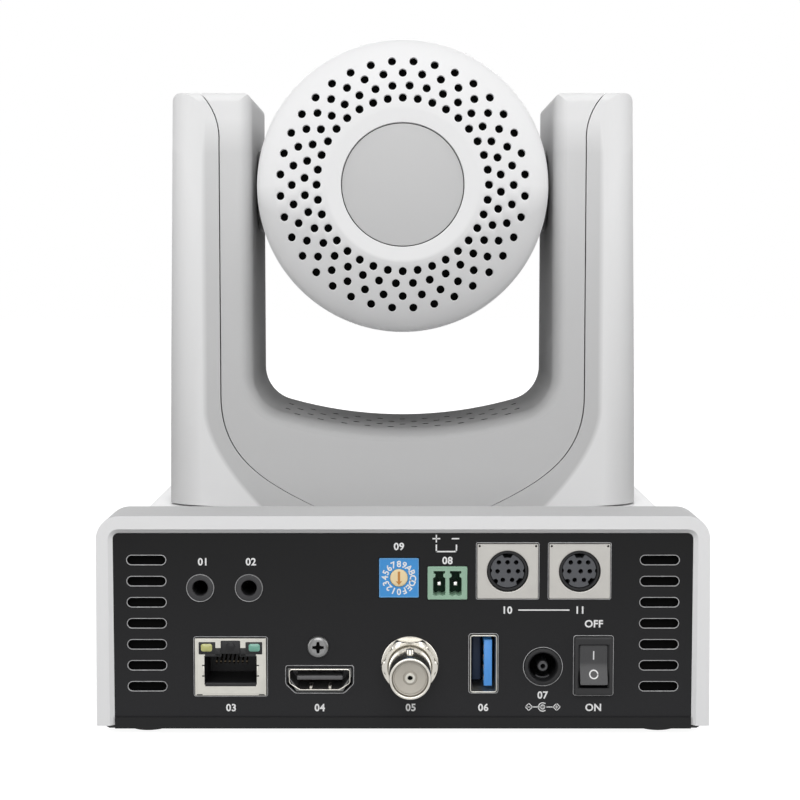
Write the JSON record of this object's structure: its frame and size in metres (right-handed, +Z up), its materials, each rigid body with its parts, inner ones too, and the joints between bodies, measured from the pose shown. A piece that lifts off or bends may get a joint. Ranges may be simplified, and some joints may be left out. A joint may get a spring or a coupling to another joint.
{
  "type": "pan tilt zoom camera",
  "caption": "Desk-top pan, tilt and zoom video camera: connector base, panning yoke and round tilting head with a zoom lens.",
  "frame": {"origin": "on the pan axis, at the mouth of the tripod thread in the underside of the base plate", "axes": "+Z up along the pan axis, +Y the way the lens looks at rest, connector panel faces -Y, +X to the right seen from behind"},
  "size_m": [0.144, 0.1792, 0.1684],
  "materials": {
    "light_plastic": "fine satin moulded plastic",
    "grey_disc": "satin grey",
    "black_paint": "black powder coat",
    "panel_paint": "black satin paint with white print",
    "rubber": "matt",
    "steel": "plain",
    "zinc_steel": "zinc plated",
    "brass": "turned",
    "contact_metal": "gold flash",
    "nickel": "nickel plate",
    "aluminium": "machined",
    "dark_window": "dark gloss",
    "board_green": "solder resist",
    "black_plastic": "moulded",
    "white_insulator": "plain",
    "blue_plastic": "moulded",
    "green_plastic": "moulded",
    "cream_plastic": "moulded",
    "light_lens": "translucent",
    "lens_glass": "coated"
  },
  "bodies": {
    "base": {"base_cover": "light_plastic", "base_plate": "black_paint", "rubber_feet": "rubber", "base_screws": "steel", "tripod_bush": "brass", "ir_window": "dark_window", "rear_panel": "panel_paint", "circuit_boards": "board_green", "board_spacers": "brass", "lan_shield": "nickel", "lan_insert": "black_plastic", "lan_lights": "light_lens", "video_shield": "nickel", "video_insert": "black_plastic", "panel_screw": "steel", "coax_body": "nickel", "coax_nut": "nickel", "coax_insulator": "white_insulator", "usb_shield": "nickel", "usb_insert": "blue_plastic", "dc_inlet": "black_plastic", "socket_contacts": "contact_metal", "switch_frame": "black_plastic", "din_shields": "nickel", "din_inserts": "black_plastic", "terminal_header": "green_plastic", "selector_body": "blue_plastic", "audio_jacks": "black_plastic", "pan_chassis": "zinc_steel", "pan_bearing": "steel", "pan_motor": "zinc_steel"},
    "rocker": {"switch_rocker": "black_plastic"},
    "selector": {"selector_rotor": "cream_plastic"},
    "pan_drive": {"pan_pinion": "brass"},
    "yoke": {"pan_spindle": "aluminium", "pan_gear": "white_insulator", "yoke_centre_shell": "light_plastic", "yoke_cover_left": "light_plastic", "yoke_cover_right": "light_plastic", "yoke_frame": "zinc_steel", "yoke_screws": "steel", "tilt_bearings": "steel", "tilt_motor": "zinc_steel", "tilt_sensor": "board_green"},
    "tilt_drive": {"tilt_pinion": "brass"},
    "head": {"head_rear_cover": "light_plastic", "head_rear_disc": "grey_disc", "head_front_cover": "light_plastic", "lens_ring": "black_plastic", "front_glass": "lens_glass", "head_trunnions": "aluminium", "head_chassis": "aluminium", "lens_barrel": "black_plastic", "front_lens": "lens_glass", "guide_rods": "steel", "sensor_board": "board_green", "heat_sink": "aluminium", "tilt_gear": "white_insulator"},
    "zoom": {"zoom_group": "black_plastic"},
    "focus": {"focus_group": "black_plastic"}
  },
  "joints": [
    {"name": "pan", "type": "hinge", "parent": "base", "child": "yoke", "pos_m": [0, 0, 0.0437], "axis": [0, 0, 1], "range_deg": [-170, 170]},
    {"name": "tilt", "type": "hinge", "parent": "yoke", "child": "head", "pos_m": [0, 0, 0.1292], "axis": [1, 0, 0], "range_deg": [-30, 90]},
    {"name": "pan_pinion_spin", "type": "hinge", "parent": "base", "child": "pan_drive", "pos_m": [0, 0.042, 0.0245], "axis": [0, 0, 1], "range_deg": [-1020, 1020]},
    {"name": "tilt_pinion_spin", "type": "hinge", "parent": "yoke", "child": "tilt_drive", "pos_m": [0.048, 0, 0.1052], "axis": [1, 0, 0], "range_deg": [-360, 120]},
    {"name": "zoom_travel", "type": "slide", "parent": "head", "child": "zoom", "axis": [0, 1, 0], "range_m": [0, 0.026]},
    {"name": "focus_travel", "type": "slide", "parent": "head", "child": "focus", "axis": [0, 1, 0], "range_m": [-0.004, 0.012]},
    {"name": "power_rocker", "type": "hinge", "parent": "base", "child": "rocker", "pos_m": [0.04475, -0.0828, 0.01495], "axis": [1, 0, 0], "range_deg": [0, 18]},
    {"name": "selector_turn", "type": "hinge", "parent": "base", "child": "selector", "pos_m": [-0.00095, -0.082, 0.0358], "axis": [0, -1, 0], "continuous": true}
  ],
  "couplings": [
    {"joint": "pan_pinion_spin", "follows": "pan", "ratio": -6},
    {"joint": "tilt_pinion_spin", "follows": "tilt", "ratio": -4}
  ]
}
